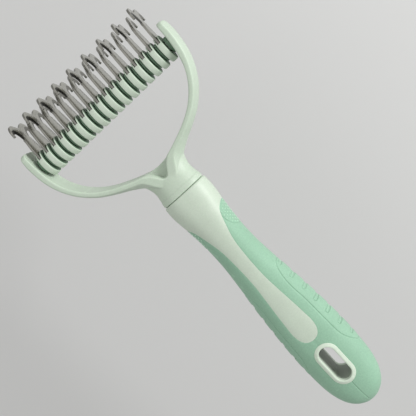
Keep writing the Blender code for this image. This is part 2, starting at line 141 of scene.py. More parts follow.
# z, and the share of the way from the floor's outline to the mouth's
POCKET_LEVELS = [(WEB_HALF, 0.0), (5.0, 0.28), (6.4, 0.6), (ARM_DEPTH, 1.0), (12.0, 1.9)]
TONGUE = [(12.2, 86.7), (9.7, 88.7), (7.7, 91.4), (5.9, 97.2),
          (4.2, 104.0), (3.5, 111.0), (3.2, 119.0), (3.3, 127.0), (4.0, 135.0),
          (4.8, 143.0), (5.4, 150.0), (5.7, 154.6), (5.2, 158.2), (3.9, 160.6),
          (2.1, 161.8), (0.0, 162.2)]

# lines on the grip, (y, degrees round from the side line to front and back)
PANEL = [(124.7, 0.0), (124.8, 10.0), (125.1, 20.0), (126.4, 30.0),
         (128.6, 38.0), (132.5, 45.0), (138.0, 48.0), (146.0, 46.5),
         (154.0, 47.0), (162.0, 47.0), (166.5, 46.0), (170.0, 41.5),
         (173.3, 31.0), (175.9, 17.0), (176.9, 0.0)]
NOTCHES = [(126.9, 18.0), (134.6, 28.0), (142.1, 29.0), (149.5, 31.0),
           (157.0, 32.0), (164.6, 29.0), (172.0, 18.0)]
PAD = [(90.6, 53.0), (93.0, 50.0), (95.7, 46.6), (97.6, 40.3), (99.4, 31.0),
       (100.8, 15.0), (101.3, 0.0)]
CREASE = [(101.8, 12.0), (106.5, 13.5), (112.0, 17.5), (118.0, 22.7),
          (122.0, 26.5), (125.4, 31.0), (129.0, 39.5)]

# dots of the thumb pads
DOT_PITCH = 1.8
DOT_ROW_DEGREES = 10.6
DOT_R = 0.38
DOT_HIGH = 0.42
DOT_SUNK = 0.15
DOT_SIDES = 14


# ------------------------------------------------------------------- helpers
def place(x, y, z):
    """A point of the comb in the frame's metres."""
    return Vector((x * MM, FRAME_AXLE_Y + (y - AXLE_AT) * MM, FRAME_MID_Z + z * MM))


def comb_point(point):
    """The reverse of place()."""
    return (point.x / MM, AXLE_AT + (point.y - FRAME_AXLE_Y) / MM,
            (point.z - FRAME_MID_Z) / MM)


def local(x, y, z):
    """A point about the axle, for pieces that are placed as objects."""
    return Vector((x * MM, y * MM, z * MM))


def blend(first, second, share):
    return tuple(p + (q - p) * share for p, q in zip(first, second))


def spline(points, steps):
    """Catmull-Rom curve through points of any size, steps parts per span."""
    curve = []
    last = len(points) - 1
    columns = range(len(points[0]))
    for i in range(last):
        p1, p2 = points[i], points[i + 1]
        p0 = points[i - 1] if i else tuple(2 * p1[c] - p2[c] for c in columns)
        p3 = points[i + 2] if i + 2 <= last else tuple(
            2 * p2[c] - p1[c] for c in columns)
        for k in range(steps):
            t = k / steps
            curve.append(tuple(
                0.5 * (2 * p1[c] + (p2[c] - p0[c]) * t
                       + (2 * p0[c] - 5 * p1[c] + 4 * p2[c] - p3[c]) * t * t
                       + (3 * p1[c] - p0[c] - 3 * p2[c] + p3[c]) * t ** 3)
                for c in columns))
    curve.append(tuple(points[-1]))
    return curve


def spline_values(values, steps):
    return [point[0] for point in spline([(value,) for value in values], steps)]


def densify(points, parts):
    """A line with each span split into equal parts."""
    fine = []
    for first, second in zip(points, points[1:]):
        for k in range(parts):
            fine.append(blend(first, second, k / parts))
    fine.append(points[-1])
    return fine


def step(t):
    """Smooth step from 0 to 1."""
    t = min(1.0, max(0.0, t))
    return t * t * (3 - 2 * t)


def mirrored(half):
    return half + [(-x, y) for x, y in reversed(half) if x > 1e-6]


def super_point(wide, deep, power, angle):
    """x and z on a super-ellipse."""
    cos, sin = math.cos(angle), math.sin(angle)
    return (wide * math.copysign(abs(cos) ** (2 / power), cos),
            deep * math.copysign(abs(sin) ** (2 / power), sin))


def stadium(half_w, half_l, centre, count=24, run_parts=1):
    """Outline of a slot along y: count parts per round end."""
    run = half_l - half_w
    points = []
    for sign, start in ((1, 0.0), (-1, math.pi)):
        for k in range(count + 1):
            angle = start + math.pi * k / count
            points.append((half_w * math.cos(angle),
                           centre + sign * run + half_w * math.sin(angle)))
        for k in range(1, run_parts):
            y = sign * run - sign * 2 * run * k / run_parts
            points.append((-sign * half_w, centre + y))
    return points


def tree_of(points):
    tree = KDTree(len(points))
    for i, point in enumerate(points):
        tree.insert(point, i)
    tree.balance()
    return tree


def new_object(name, mesh, *materials):
    obj = bpy.data.objects.new(name, mesh)
    bpy.context.scene.collection.objects.link(obj)
    for material in materials:
        mesh.materials.append(material)
    return obj


def take_mesh(obj):
    """Remove an object and keep its mesh."""
    mesh = obj.data
    bpy.data.objects.remove(obj)
    return mesh


def finish_mesh(build, name):
    bmesh.ops.recalc_face_normals(build, faces=build.faces)
    if build.calc_volume(signed=True) < 0:
        bmesh.ops.reverse_faces(build, faces=build.faces)
    mesh = bpy.data.meshes.new(name)
    build.to_mesh(mesh)
    build.free()
    return mesh


def skin(build, rows):
    """Quads between neighbouring closed rows of vertices."""
    faces = []
    for low, high in zip(rows, rows[1:]):
        for i in range(len(low)):
            j = (i + 1) % len(low)
            faces.append(build.faces.new((low[i], low[j], high[j], high[i])))
    return faces


def fill_between(build, outer, inner):
    """Flat triangles between an outline and a hole."""
    edges = []
    for loop in (outer, inner):
        for i in range(len(loop)):
            pair = (loop[i], loop[(i + 1) % len(loop)])
            edges.append(build.edges.get(pair) or build.edges.new(pair))
    bmesh.ops.triangle_fill(build, use_beauty=True, use_dissolve=False, edges=edges)


def loft(name, loops):
    """Closed body through loops of points."""
    build = bmesh.new()
    rows = [[build.verts.new(point) for point in loop] for loop in loops]
    skin(build, rows)
    build.faces.new(rows[0][::-1])
    build.faces.new(rows[-1])
    return finish_mesh(build, name)


def prism(name, outline, low_z, high_z):
    return loft(name, [[place(x, y, z) for x, y in outline] for z in (low_z, high_z)])


def oval_loft(name, stations, count):
    """Body through super-ellipse sections (y, half width, half depth, exponent)."""
    loops = []
    for y, wide, deep, power in stations:
        points = [super_point(wide, deep, power, 2 * math.pi * (i + 0.5) / count)
                  for i in range(count)]
        loops.append([place(x, y, z) for x, z in points])
    return loft(name, loops)


def bake(obj):
    """Apply the modifiers of an object to its mesh."""
    bpy.context.view_layer.update()
    graph = bpy.context.evaluated_depsgraph_get()
    result = bpy.data.meshes.new_from_object(obj.evaluated_get(graph))
    old = obj.data
    result.name = old.name + "_done"
    obj.modifiers.clear()
    obj.data = result
    bpy.data.meshes.remove(old)


def cut(obj, mesh, operation="DIFFERENCE"):
    tool = new_object("tool", mesh)
    mod = obj.modifiers.new("cut", "BOOLEAN")
    mod.operation = operation
    mod.solver = "EXACT"
    mod.object = tool
    bake(obj)
    bpy.data.objects.remove(tool)
    bpy.data.meshes.remove(mesh)


def bevel(obj, width, degrees):
    mod = obj.modifiers.new("edges", "BEVEL")
    mod.width = width * MM
    mod.segments = 2
    mod.limit_method = "ANGLE"
    mod.angle_limit = math.radians(degrees)
    bake(obj)


def smooth(obj, degrees):
    obj.data.shade_smooth()
    obj.data.set_sharp_from_angle(angle=math.radians(degrees))


# ----------------------------------------------------------------- materials
def node(tree, kind, **values):
    """A shader node; each value sets an input or else a property."""
    made = tree.nodes.new(kind)
    for key, value in values.items():
        if key in made.inputs:
            made.inputs[key].default_value = value
        else:
            setattr(made, key, value)
    return made


def start_material(name):
    mat = bpy.data.materials.new(name)
    mat.use_nodes = True
    return mat, mat.node_tree, mat.node_tree.nodes["Principled BSDF"]


def noise(tree, vector, **values):
    made = node(tree, "ShaderNodeTexNoise", **values)
    tree.links.new(vector, made.inputs["Vector"])
    return made.outputs["Fac"]


def ramp(tree, source, stops):
    made = tree.nodes.new("ShaderNodeValToRGB")
    elements = made.color_ramp.elements
    while len(elements) < len(stops):
        elements.new(0.5)
    for element, (position, colour) in zip(elements, stops):
        element.position = position
        element.color = (*colour, 1.0)
    tree.links.new(source, made.inputs["Fac"])
    return made.outputs["Color"]


def multiply(tree, first, second):
    mix = node(tree, "ShaderNodeMix", data_type="RGBA", blend_type="MULTIPLY")
    mix.inputs[0].default_value = 1.0       # factor
    tree.links.new(first, mix.inputs[6])    # colour A
    tree.links.new(second, mix.inputs[7])   # colour B
    return mix.outputs[2]                   # colour result


def wire_surface(tree, bsdf, colour, rub, rough_low, rough_high, relief, bump, depth):
    """Colour, a roughness that follows rub, and a bump that follows relief."""
    link = tree.links.new
    link(colour, bsdf.inputs["Base Color"])
    rough = node(tree, "ShaderNodeMapRange", **{"To Min": rough_low, "To Max": rough_high})
    link(rub, rough.inputs["Value"])
    link(rough.outputs["Result"], bsdf.inputs["Roughness"])
    dents = node(tree, "ShaderNodeBump", Strength=bump, Distance=depth)
    link(relief, dents.inputs["Height"])
    link(dents.outputs["Normal"], bsdf.inputs["Normal"])


def shade(colour, factor):
    return tuple(min(1.0, c * factor) for c in colour)


def grey(value):
    return (value,) * 3


def moulded(name, colour, rough, grain=3800.0, bump=0.10, soft=0.0,
            speckle=0.03, sheen=0.0, edge=1.08, specular=0.5):
    """Moulded plastic: fine grain, faint mottling, painted highlights on edges and painted
    shade in creases.
    """
    mat, tree, bsdf = start_material(name)
    where = node(tree, "ShaderNodeTexCoord").outputs["Object"]
    cloud = noise(tree, where, Scale=70.0, Detail=3.0)
    fleck = noise(tree, where, Scale=1500.0, Detail=4.0)
    fine = noise(tree, where, Scale=grain, Detail=3.0, Roughness=0.65)
    broad = ramp(tree, cloud, [(0.3, shade(colour, 0.965)), (0.7, shade(colour, 1.03))])
    flecks = ramp(tree, fleck, [(0.35, grey(1 - speckle)), (0.65, grey(1 + speckle))])
    mottled = multiply(tree, broad, flecks)
    points = node(tree, "ShaderNodeNewGeometry").outputs["Pointiness"]
    # painted light: the ramp darkens concave creases (painted shade) and lightens convex
    # edges by edge (painted highlight)
    edge_highlight_and_crease_shade = ramp(tree, points, [(0.47, grey(0.93)), (0.5, grey(1.0)), (0.56, grey(edge))])
    wire_surface(tree, bsdf, multiply(tree, mottled, edge_highlight_and_crease_shade),
                 rub=fleck, rough_low=rough - 0.06, rough_high=rough + 0.07,
                 relief=fine, bump=bump, depth=0.0002)
    for key, value in (("Specular IOR Level", specular),
                       ("Subsurface Weight", soft),
                       ("Subsurface Radius", (0.0012, 0.0016, 0.0012)),
                       ("Subsurface Scale", 1.0),
                       ("Sheen Weight", sheen),
                       ("Sheen Roughness", 0.5)):
        bsdf.inputs[key].default_value = value
    return mat


def metal(name, colour, rough, stretch=(60.0, 60.0, 2200.0), bump=0.12):
    """Steel with fine lines along the axis where stretch is least."""
    mat, tree, bsdf = start_material(name)
    where = node(tree, "ShaderNodeTexCoord").outputs["Object"]
    mapping = node(tree, "ShaderNodeMapping", Scale=stretch)
    tree.links.new(where, mapping.inputs["Vector"])
    lines = noise(tree, mapping.outputs["Vector"], Scale=3.0, Detail=5.0, Roughness=0.7)
    cloud = noise(tree, where, Scale=420.0, Detail=3.0)
    tone = ramp(tree, cloud, [(0.3, shade(colour, 1 - 0.12)), (0.7, shade(colour, 1.06))])
    streak = ramp(tree, lines, [(0.3, grey(0.88)), (0.7, grey(1.05))])
    wire_surface(tree, bsdf, multiply(tree, tone, streak),
                 rub=lines, rough_low=rough - 0.08, rough_high=rough + 0.12,
                 relief=lines, bump=bump, depth=0.0001)
    bsdf.inputs["Metallic"].default_value = 1.0
    return mat


SAGE = (0.52, 0.60, 0.50)
ALONG_X = (40.0, 1500.0, 1500.0)
M_SAGE = moulded("sage_satin", SAGE, rough=0.46, soft=0.10)
# lighter than the core's sage: painted highlight on the rim round the slot
M_RIM_HIGHLIGHT = moulded("sage_rim_painted_highlight", shade(SAGE, 1.14), rough=0.42, soft=0.10)
# darker sage for the slot's inner wall: painted shade
M_SLOT_WALL_SHADE = moulded("sage_slot_wall_painted_shade", shade(SAGE, 0.62), rough=0.5)
M_YOKE = moulded("sage_yoke", (0.485, 0.573, 0.468), rough=0.46, soft=0.10)
# edge=1.3 paints brighter highlights on the rings' rounded shoulders
M_RING = moulded("sage_ring", shade(SAGE, 0.94), rough=0.40, soft=0.06, edge=1.3)
# darker green for the rings' slot walls and side faces: painted shade
M_RING_WALL_SHADE = moulded("sage_ring_wall_painted_shade", (0.19, 0.29, 0.20), rough=0.5)
# the spacers' own darker green, darkened further as painted shade of the gaps between the
# rings
M_COLLAR_AND_GAP_SHADE = moulded("sage_collar_and_gap_shade", (0.14, 0.24, 0.155), rough=0.5)
M_MINT = moulded("mint_grip", (0.265, 0.455, 0.325), rough=0.62, grain=3000.0,
                 bump=0.22, soft=0.08, speckle=0.05, sheen=0.15, edge=1.12,
                 specular=0.4)
# lighter base than the grip's mint: painted highlight on the dots
M_DOT_HIGHLIGHT = moulded("mint_dot_painted_highlight", (0.40, 0.62, 0.46), rough=0.28, specular=0.7)
M_BLADE = metal("blade_steel", (0.50, 0.495, 0.445), rough=0.20)
# darker than the blade steel: painted shade on the blades' edge faces
M_EDGE_SHADE = metal("blade_edge_painted_shade", (0.27, 0.265, 0.24), rough=0.34)
# near-black steel on the ground hook bevels: painted dark reflection
M_GROUND_DARK_REFLECTION = metal("ground_steel_painted_reflection", (0.07, 0.07, 0.062), rough=0.36,
                 stretch=(900.0, 90.0, 90.0), bump=0.2)
M_BAR = metal("drawn_bar_steel", (0.5, 0.5, 0.5), rough=0.3, stretch=ALONG_X)
M_PIN = metal("pin_steel", (0.52, 0.52, 0.53), rough=0.28, stretch=ALONG_X)


# -------------------------------------------------------------------- blades
def arc_shares(points):
    """Share of the line's length reached at each point."""
    run = [0.0]
    for first, second in zip(points, points[1:]):
        run.append(run[-1] + math.hypot(second[0] - first[0], second[1] - first[1]))
    return [length / run[-1] for length in run]


def ground_edge(points, width, lead, tail, begin, end, least=0.0):
    """Edge points, each with the inner point its grinding starts from and the
    share of full grinding; begin, end, lead and tail are shares of the length."""
    edge = []
    for i, (point, share) in enumerate(zip(points, arc_shares(points))):
        before = points[max(0, i - 1)]
        after = points[min(len(points) - 1, i + 1)]
        dz, dy = after[0] - before[0], after[1] - before[1]
        length = math.hypot(dz, dy)
        grind = 0.0
        if begin <= share < end:
            grind = max(least, step((share - begin) / lead)) * step((end - share) / tail)
        inset = width * grind
        edge.append((point,
                     (point[0] - inset * dy / length, point[1] + inset * dz / length),
                     min(1.0, grind * (1 + 1.5 * least))))
    return edge


def unground(points):
    return [(point, point, 0.0) for point in points]


def blade_outline(two_hooks):
    """Front and whole outline as ground_edge() entries, y from the axle."""
    steps = 7
    hook = unground(spline(HOOK_OUT, steps)) + ground_edge(
        spline(HOOK_IN, steps), width=2.0, lead=0.11, tail=0.05,
        begin=0.0, end=0.53, least=0.3)
    back = [((-rim[0], rim[1]), (-start[0], start[1]), grind)
            for rim, start, grind in hook]
    if two_hooks:
        front = hook
        back = back[1:]
    else:
        front = ground_edge(spline(PLAIN_EDGE, steps), width=0.9, lead=0.16,
                            tail=0.2, begin=0.16, end=0.62)
        # the part of the back hook that the plain edge leaves standing
        back = [entry for entry in back if entry[0][0] < -6.7 or entry[0][1] > 3.5]

    def from_axle(entries):
        return [((rim[0], rim[1] - AXLE_AT), (start[0], start[1] - AXLE_AT), grind)
                for rim, start, grind in entries]

    root = [(BLADE_ROOT_R * math.cos(math.pi * k / 32),
             BLADE_ROOT_R * math.sin(math.pi * k / 32)) for k in range(33)]
    return front, from_axle(front) + unground(root) + from_axle(back[::-1])


def blade_mesh(name, two_hooks):
    """Flat blade with its ground edges thinned to a wedge."""
    front, outline = blade_outline(two_hooks)
    build = bmesh.new()
    half = BLADE_THICK / 2
    square = [(BORE, BORE), (BORE, -BORE), (-BORE, -BORE), (-BORE, BORE)]
    sides = []
    for sign in (-1, 1):
        plate, lip = [], []
        for rim, start, grind in outline:
            vert = build.verts.new(local(sign * half, start[1], start[0]))
            plate.append(vert)
            if grind > 0.001:
                thick = half - (half - EDGE_THICK_HALF) * grind
                vert = build.verts.new(local(sign * thick, rim[1], rim[0]))
            lip.append(vert)
        hole = [build.verts.new(local(sign * half, y, z)) for z, y in square]
        fill_between(build, plate, hole)
        for i in range(len(plate)):
            j = (i + 1) % len(plate)
            corners = []
            for vert in (plate[i], plate[j], lip[j], lip[i]):
                if vert not in corners:
                    corners.append(vert)
            if len(corners) > 2:
                # two-hook front faces take the near-black ground material as a painted
                # dark reflection; the rest take the darker edge material as painted shade
                painted_dark_reflection = two_hooks and i < len(front)
                build.faces.new(corners).material_index = 1 if painted_dark_reflection else 2
        sides.append((lip, hole))
    # edge walls take the darker edge material: painted shade
    for low, high in zip(*sides):
        for face in skin(build, [low, high]):
            face.material_index = 2
    obj = new_object(name, finish_mesh(build, name), M_BLADE, M_GROUND_DARK_REFLECTION, M_EDGE_SHADE)
    bevel(obj, 0.07, 55)
    smooth(obj, 28)
    return take_mesh(obj)


# ---------------------------------------------------- turned pieces on the bar
def turned(name, profile, count):
    """Profile (x, radius) turned round the axle, with the square hole."""
    build = bmesh.new()
    rows = []
    for x, radius in profile:
        rows.append([build.verts.new(local(
            x, radius * math.cos(2 * math.pi * i / count),
            radius * math.sin(2 * math.pi * i / count))) for i in range(count)])
    bores = []
    for x in (profile[0][0], profile[-1][0]):
        bores.append([build.verts.new(local(x, y * BORE, z * BORE))
                      for y, z in ((1, 1), (-1, 1), (-1, -1), (1, -1))])
    skin(build, rows)
    for i in range(4):
        j = (i + 1) % 4
        build.faces.new((bores[0][j], bores[0][i], bores[1][i], bores[1][j]))
    fill_between(build, rows[0], bores[0])
    fill_between(build, rows[-1], bores[1])
    return finish_mesh(build, name)


def rounded(half_w, low_r, top_r, radius, crown, parts=6):
    """Profile (x, r) of a band with rounded shoulders and a slight crown."""
    side = []
    for k in range(parts + 1):
        angle = math.pi / 2 * k / parts
        side.append((-half_w + radius * (1 - math.cos(angle)),
                     top_r - crown - radius + radius * math.sin(angle)))
    flat = []
    span = half_w - radius
    for k in range(1, 6):
        x = -span + 2 * span * k / 6
        flat.append((x, top_r - crown * (x / span) ** 2))
    other = [(-x, r) for x, r in reversed(side)]
    return [(-half_w, low_r)] + side + flat + other + [(half_w, low_r)]


def carrier_mesh(name):
    """Blade carrier: a band with a blade slot that is open towards the tips."""
    profile = rounded(CARRIER_WIDE / 2, low_r=CARRIER_R - 1.4, top_r=CARRIER_R,
                      radius=0.5, crown=0.06)
    obj = new_object(name, turned(name, profile, 96))
    outline = [(CARRIER_SLOT_R * math.cos(math.pi * k / 24),
                CARRIER_SLOT_R * math.sin(math.pi * k / 24)) for k in range(25)]
    outline += [(-CARRIER_SLOT_R, -9.0), (CARRIER_SLOT_R, -9.0)]
    half = CARRIER_SLOT_WIDE / 2
    cut(obj, loft("slot", [[local(x, y, z) for z, y in outline] for x in (-half, half)]))
    bevel(obj, 0.12, 50)
    obj.data.materials.clear()
    obj.data.materials.append(M_RING)
    obj.data.materials.append(M_RING_WALL_SHADE)
    # slot walls and side faces take the darker ring material: painted shade in the slot
    # and in the gaps between rings
    for poly in obj.data.polygons:
        middle = poly.center
        radius = math.hypot(middle.y, middle.z) / MM
        in_slot = abs(middle.x) < (half + 0.05) * MM and radius < CARRIER_R - 0.3
        on_end = abs(poly.normal.x) > 0.9 and radius < CARRIER_R - 0.35
        poly.material_index = int(in_slot or on_end)
    smooth(obj, 40)
    return take_mesh(obj)


def spacer_mesh(name, width, flange):
    """Spacer with chamfered ends and, if asked, a rounded flange."""
    half, low = width / 2, SPACER_R - 0.1
    start = [(-half, low), (-half + 0.1, SPACER_R)]
    if flange:
        start += [(-FLANGE_HALF, SPACER_R), (-FLANGE_HALF, 4.62),
                  (-FLANGE_HALF + 0.04, 4.71), (-FLANGE_HALF + 0.13, FLANGE_R)]
    profile = start + [(-x, r) for x, r in reversed(start)]
    # the spacer colour carries painted shade of the gaps between rings
    obj = new_object(name, turned(name, profile, 72), M_COLLAR_AND_GAP_SHADE)
    smooth(obj, 30)
    return take_mesh(obj)


# ----------------------------------------------------------------- the yoke
def arms_mesh():
    """Both arms as one bow, a section across it at every station."""
    steps = 6
    tall = [min(1.0, value) for value in spline_values(ARM_TALL, steps)]
    side = [max(1.0, value) for value in spline_values(ARM_SIDE, steps)]
    loops = []
    for inner, outer, share, round_w in zip(
            mirrored(spline(ARM_IN, steps)), mirrored(spline(ARM_OUT, steps)),
            tall + tall[-2::-1], side + side[-2::-1]):
        dx, dy = outer[0] - inner[0], outer[1] - inner[1]
        wide = math.hypot(dx, dy)
        dx, dy = dx / wide, dy / wide
        high, edge = ARM_DEPTH * share, ARM_EDGE
        crown = spline([(wide - round_w, high), (wide - round_w * 0.55, high * 0.78),
                        (wide - round_w * 0.14, high * 0.4), (wide, 0.0),
                        (wide - round_w * 0.14, -high * 0.4),
                        (wide - round_w * 0.55, -high * 0.78),
                        (wide - round_w, -high)], 4)
        # (distance from the inner line, z)
        section = [(edge, -high), (edge * 0.3, -high + edge * 0.3),
                   (0.0, -high + edge), (0.0, 0.0), (0.0, high - edge),
                   (edge * 0.3, high - edge * 0.3), (edge, high)] + crown
        loops.append([place(inner[0] + dx * across, inner[1] + dy * across, z)
                      for across, z in section])
    return loft("yoke_skin", loops)


def cut_pockets(obj):
    """Pockets from front and back that leave a web between them."""
    floor, mouth = spline(POCKET_FLOOR, 4), spline(POCKET_MOUTH, 4)
    for sign in (1, -1):
        shells = []
        for z, share in POCKET_LEVELS:
            half = [blend(low, high, share) for low, high in zip(floor, mouth)]
            shells.append([place(x, y, sign * z) for x, y in mirrored(half)])
        cut(obj, loft("pocket", shells))


def raise_collar(mesh):
    """Lift the band at the neck's end a little proud."""
    for vert in mesh.vertices:
        x, y, z = comb_point(vert.co)
        if COLLAR_AT - 0.5 < y < 74.6 and math.hypot(x, z) > 7.0:
            out_x, out_z = x / COLLAR_HALF_W ** 2, z / COLLAR_HALF_D ** 2
            length = math.hypot(out_x, out_z)
            lift = 0.2 * step((y - COLLAR_AT + 0.15) / 0.45)
            vert.co.x += lift * out_x / length * MM
            vert.co.z += lift * out_z / length * MM


def pin_hole():
    radius = PIN_R + FIT_GAP
    return loft("pin", [[place(x, PIN_AT + radius * math.cos(math.pi * k / 16),
                               radius * math.sin(math.pi * k / 16))
                         for k in range(32)] for x in (-12.0, 12.0)])


def yoke_object():
    """Arms, neck and tang melted into one, then the holes cut."""
    obj = new_object("yoke_skin", arms_mesh())
    cut(obj, oval_loft("neck", spline(NECK, 4), 72), "UNION")
    cut_pockets(obj)
    cut(obj, oval_loft("tang", TANG, 48), "UNION")
    mod = obj.modifiers.new("even", "REMESH")
    mod.mode = "VOXEL"
    mod.voxel_size = 0.3 * MM
    mod.adaptivity = 0.0
    bake(obj)
    mod = obj.modifiers.new("soften", "SMOOTH")
    mod.factor = 0.5
    mod.iterations = 5
    bake(obj)
    raise_collar(obj.data)
    for low, high in ((-43.7, -36.0), (36.0, 43.7)):
        cut(obj, prism("socket", [(low, AXLE_AT - BORE), (high, AXLE_AT - BORE),
                                  (high, AXLE_AT + BORE), (low, AXLE_AT + BORE)],
                       -BORE, BORE))
    cut(obj, pin_hole())
    obj.data.materials.clear()
    obj.data.materials.append(M_YOKE)
    smooth(obj, 50)
    return obj


# ------------------------------------------------------- the handle's surface
STATIONS = spline(HANDLE, 24)
STATION_YS = [station[0] for station in STATIONS]
TONGUE_LINE = spline(TONGUE, 16)
TONGUE_END = TONGUE_LINE[-1][1]


def handle_at(y):
    """Half width, half depth and exponent of the handle's section at y."""
    if y <= STATION_YS[0]:
        return STATIONS[0][1:]
    if y >= STATION_YS[-1]:
        return STATIONS[-1][1:]
    i = bisect(STATION_YS, y)
    low, high = STATIONS[i - 1], STATIONS[i]
    return blend(low, high, (y - low[0]) / (high[0] - low[0]))[1:]


def on_handle(y, angle, lift=0.0):
    """A point on the handle: angle is 0 at the +x side, pi/2 at the front middle."""
    wide, deep, power = handle_at(y)
    x, z = super_point(wide, deep, power, angle)
    if lift and wide > 0.05:
        out_x = math.copysign(abs(x / wide) ** (power - 1) / wide, x)
        out_z = math.copysign(abs(z / deep) ** (power - 1) / deep, z)
        length = math.hypot(out_x, out_z) or 1.0
        x, z = x + lift * out_x / length, z + lift * out_z / length
    return x, y, z


def open_half(y):
    """Half width of the opening in the grip at y (tongue or slot rim)."""
    if y <= TONGUE_LINE[0][1]:
        return 99.0
    if y <= TONGUE_END:
        for low, high in zip(TONGUE_LINE, TONGUE_LINE[1:]):
            if low[1] <= y <= high[1]:
                return blend(low, high, (y - low[1]) / (high[1] - low[1]))[0]
    radius = SLOT_HALF_W + RIM + RIM_GAP
    off = abs(y - SLOT_AT)
    if off <= SLOT_RUN:
        return radius
    if off < SLOT_RUN + radius:
        return math.sqrt(radius * radius - (off - SLOT_RUN) ** 2)
    return 0.0


def edge_angle(y):
    """Angle at which the grip's front edge lies at y."""
    wide, _, power = handle_at(y)
    x = open_half(y)
    if x <= 0.0 or wide < 0.01:
        return math.pi / 2
    if x >= wide:
        return 0.0
    return math.acos((x / wide) ** (power / 2))


# ------------------------------------------------------------------ the grip
def surface_tree(table):
    """Search tree of a line on the grip, on front and back."""
    line = [(y, math.radians(degrees)) for y, degrees in densify(spline(table, 14), 6)]
    return tree_of([Vector(on_handle(y, side * angle))
                    for side in (1, -1) for y, angle in line])


def notch_tree():
    points = []
    for y, degrees in NOTCHES:
        reach = math.radians(degrees - 5.0)
        points += [Vector(on_handle(y, -reach + 2 * reach * k / 60))
                   for k in range(61)]
    return tree_of(points)


def opening_tree():
    """Flat search tree of the grip's edge along the tongue and the slot rim."""
    border = densify(TONGUE_LINE, 4)
    border += [(x, y) for x, y in stadium(SLOT_HALF_W + RIM + RIM_GAP,
                                          SLOT_HALF_L + RIM + RIM_GAP,
                                          SLOT_AT, 60, 60) if x >= 0]
    return tree_of([Vector((x, y, 0.0)) for x, y in border])


def groove(distance, depth, half_w, power=1.0):
    """Depth of a groove at a distance from its middle line."""
    return depth * max(0.0, 1 - distance / half_w) ** power


def grip_relief():
    """Function of y and angle: distance to the nearest line, and the lift."""
    panel, pad, crease = surface_tree(PANEL), surface_tree(PAD), surface_tree(CREASE)
    notch, opening = notch_tree(), opening_tree()
    panel_start, panel_end = PANEL[0][0], PANEL[-1][0]

    def relief(y, angle):
        here = Vector(on_handle(y, angle))
        x = on_handle(y, angle)[0]
        near = away = panel.find(here)[2]
        lift = -groove(away, 0.30, 0.38, 1.2)
        if y < 103.0:
            away = pad.find(here)[2]
            near = min(near, away)
            lift -= groove(away, 0.24, 0.36, 1.2)
        lift -= groove(crease.find(here)[2], 0.09, 1.1, 2)
        # notches: a shallow bed with a groove round it
        away = notch.find(here)[2]
        if away < 1.7:
            near = min(near, abs(away - 0.88) * 0.8)
            lift -= 0.16 * (1 - step((away - 0.7) / 0.35))
            lift -= groove(abs(away - 0.88), 0.34, 0.3, 0.8)
        # swellings between the notches, towards the side line
        if panel_start < y < panel_end and abs(angle) < 0.6:
            off = min(abs(y - notch_y) for notch_y, _ in NOTCHES)
            lift += 0.15 * step((off - 0.5) / 1.3) * (1 - (angle / 0.6) ** 2) \
                * step((y - panel_start) / 3) * step((panel_end - y) / 3)
        # parting line down the middle, from the tongue to the handle's end
        if abs(x) < 0.5 and y > TONGUE_END - 0.2:
            near = min(near, abs(x) * 0.6)
            lift -= groove(abs(x), 0.2, 0.24)
        # rolled edge along the opening
        away = opening.find(Vector((abs(x), y, 0.0)))[2]
        if away < 0.35:
            near = min(near, 0.15 + away * 0.5)
            lift -= groove(away, 0.13, 0.35, 2)
        return near, lift

    return relief


def grip_rows():
    """Stations along the grip, closer where its outline turns across it."""
    first = 87.2
    while edge_angle(first) < 0.02:
        first += 0.02
    rows = []
    y = first
    while y < HANDLE_END:
        rows.append(y)
        y += 0.6 if y < 199.0 else (0.25 if y < 202.0 else 0.12)
    rim_low = SLOT_AT - SLOT_HALF_L - RIM - RIM_GAP
    rim_high = SLOT_AT + SLOT_HALF_L + RIM + RIM_GAP
    for turn_y, sign in ((TONGUE_END, -1), (rim_low, 1), (rim_high, -1)):
        for off in (0.0, 0.01, 0.04, 0.09, 0.16, 0.25, 0.36, 0.6, 0.9):
            rows.append(turn_y + sign * off)
        rows.append(turn_y - sign * 0.15)
    for off in (0.05, 0.12, 0.22, 0.35):
        rows.append(first + off)
    rows.append(HANDLE_END)
    rows.sort()
    kept = [rows[0]]
    for y in rows[1:]:
        if y - kept[-1] > 0.004:
            kept.append(y)
    return kept


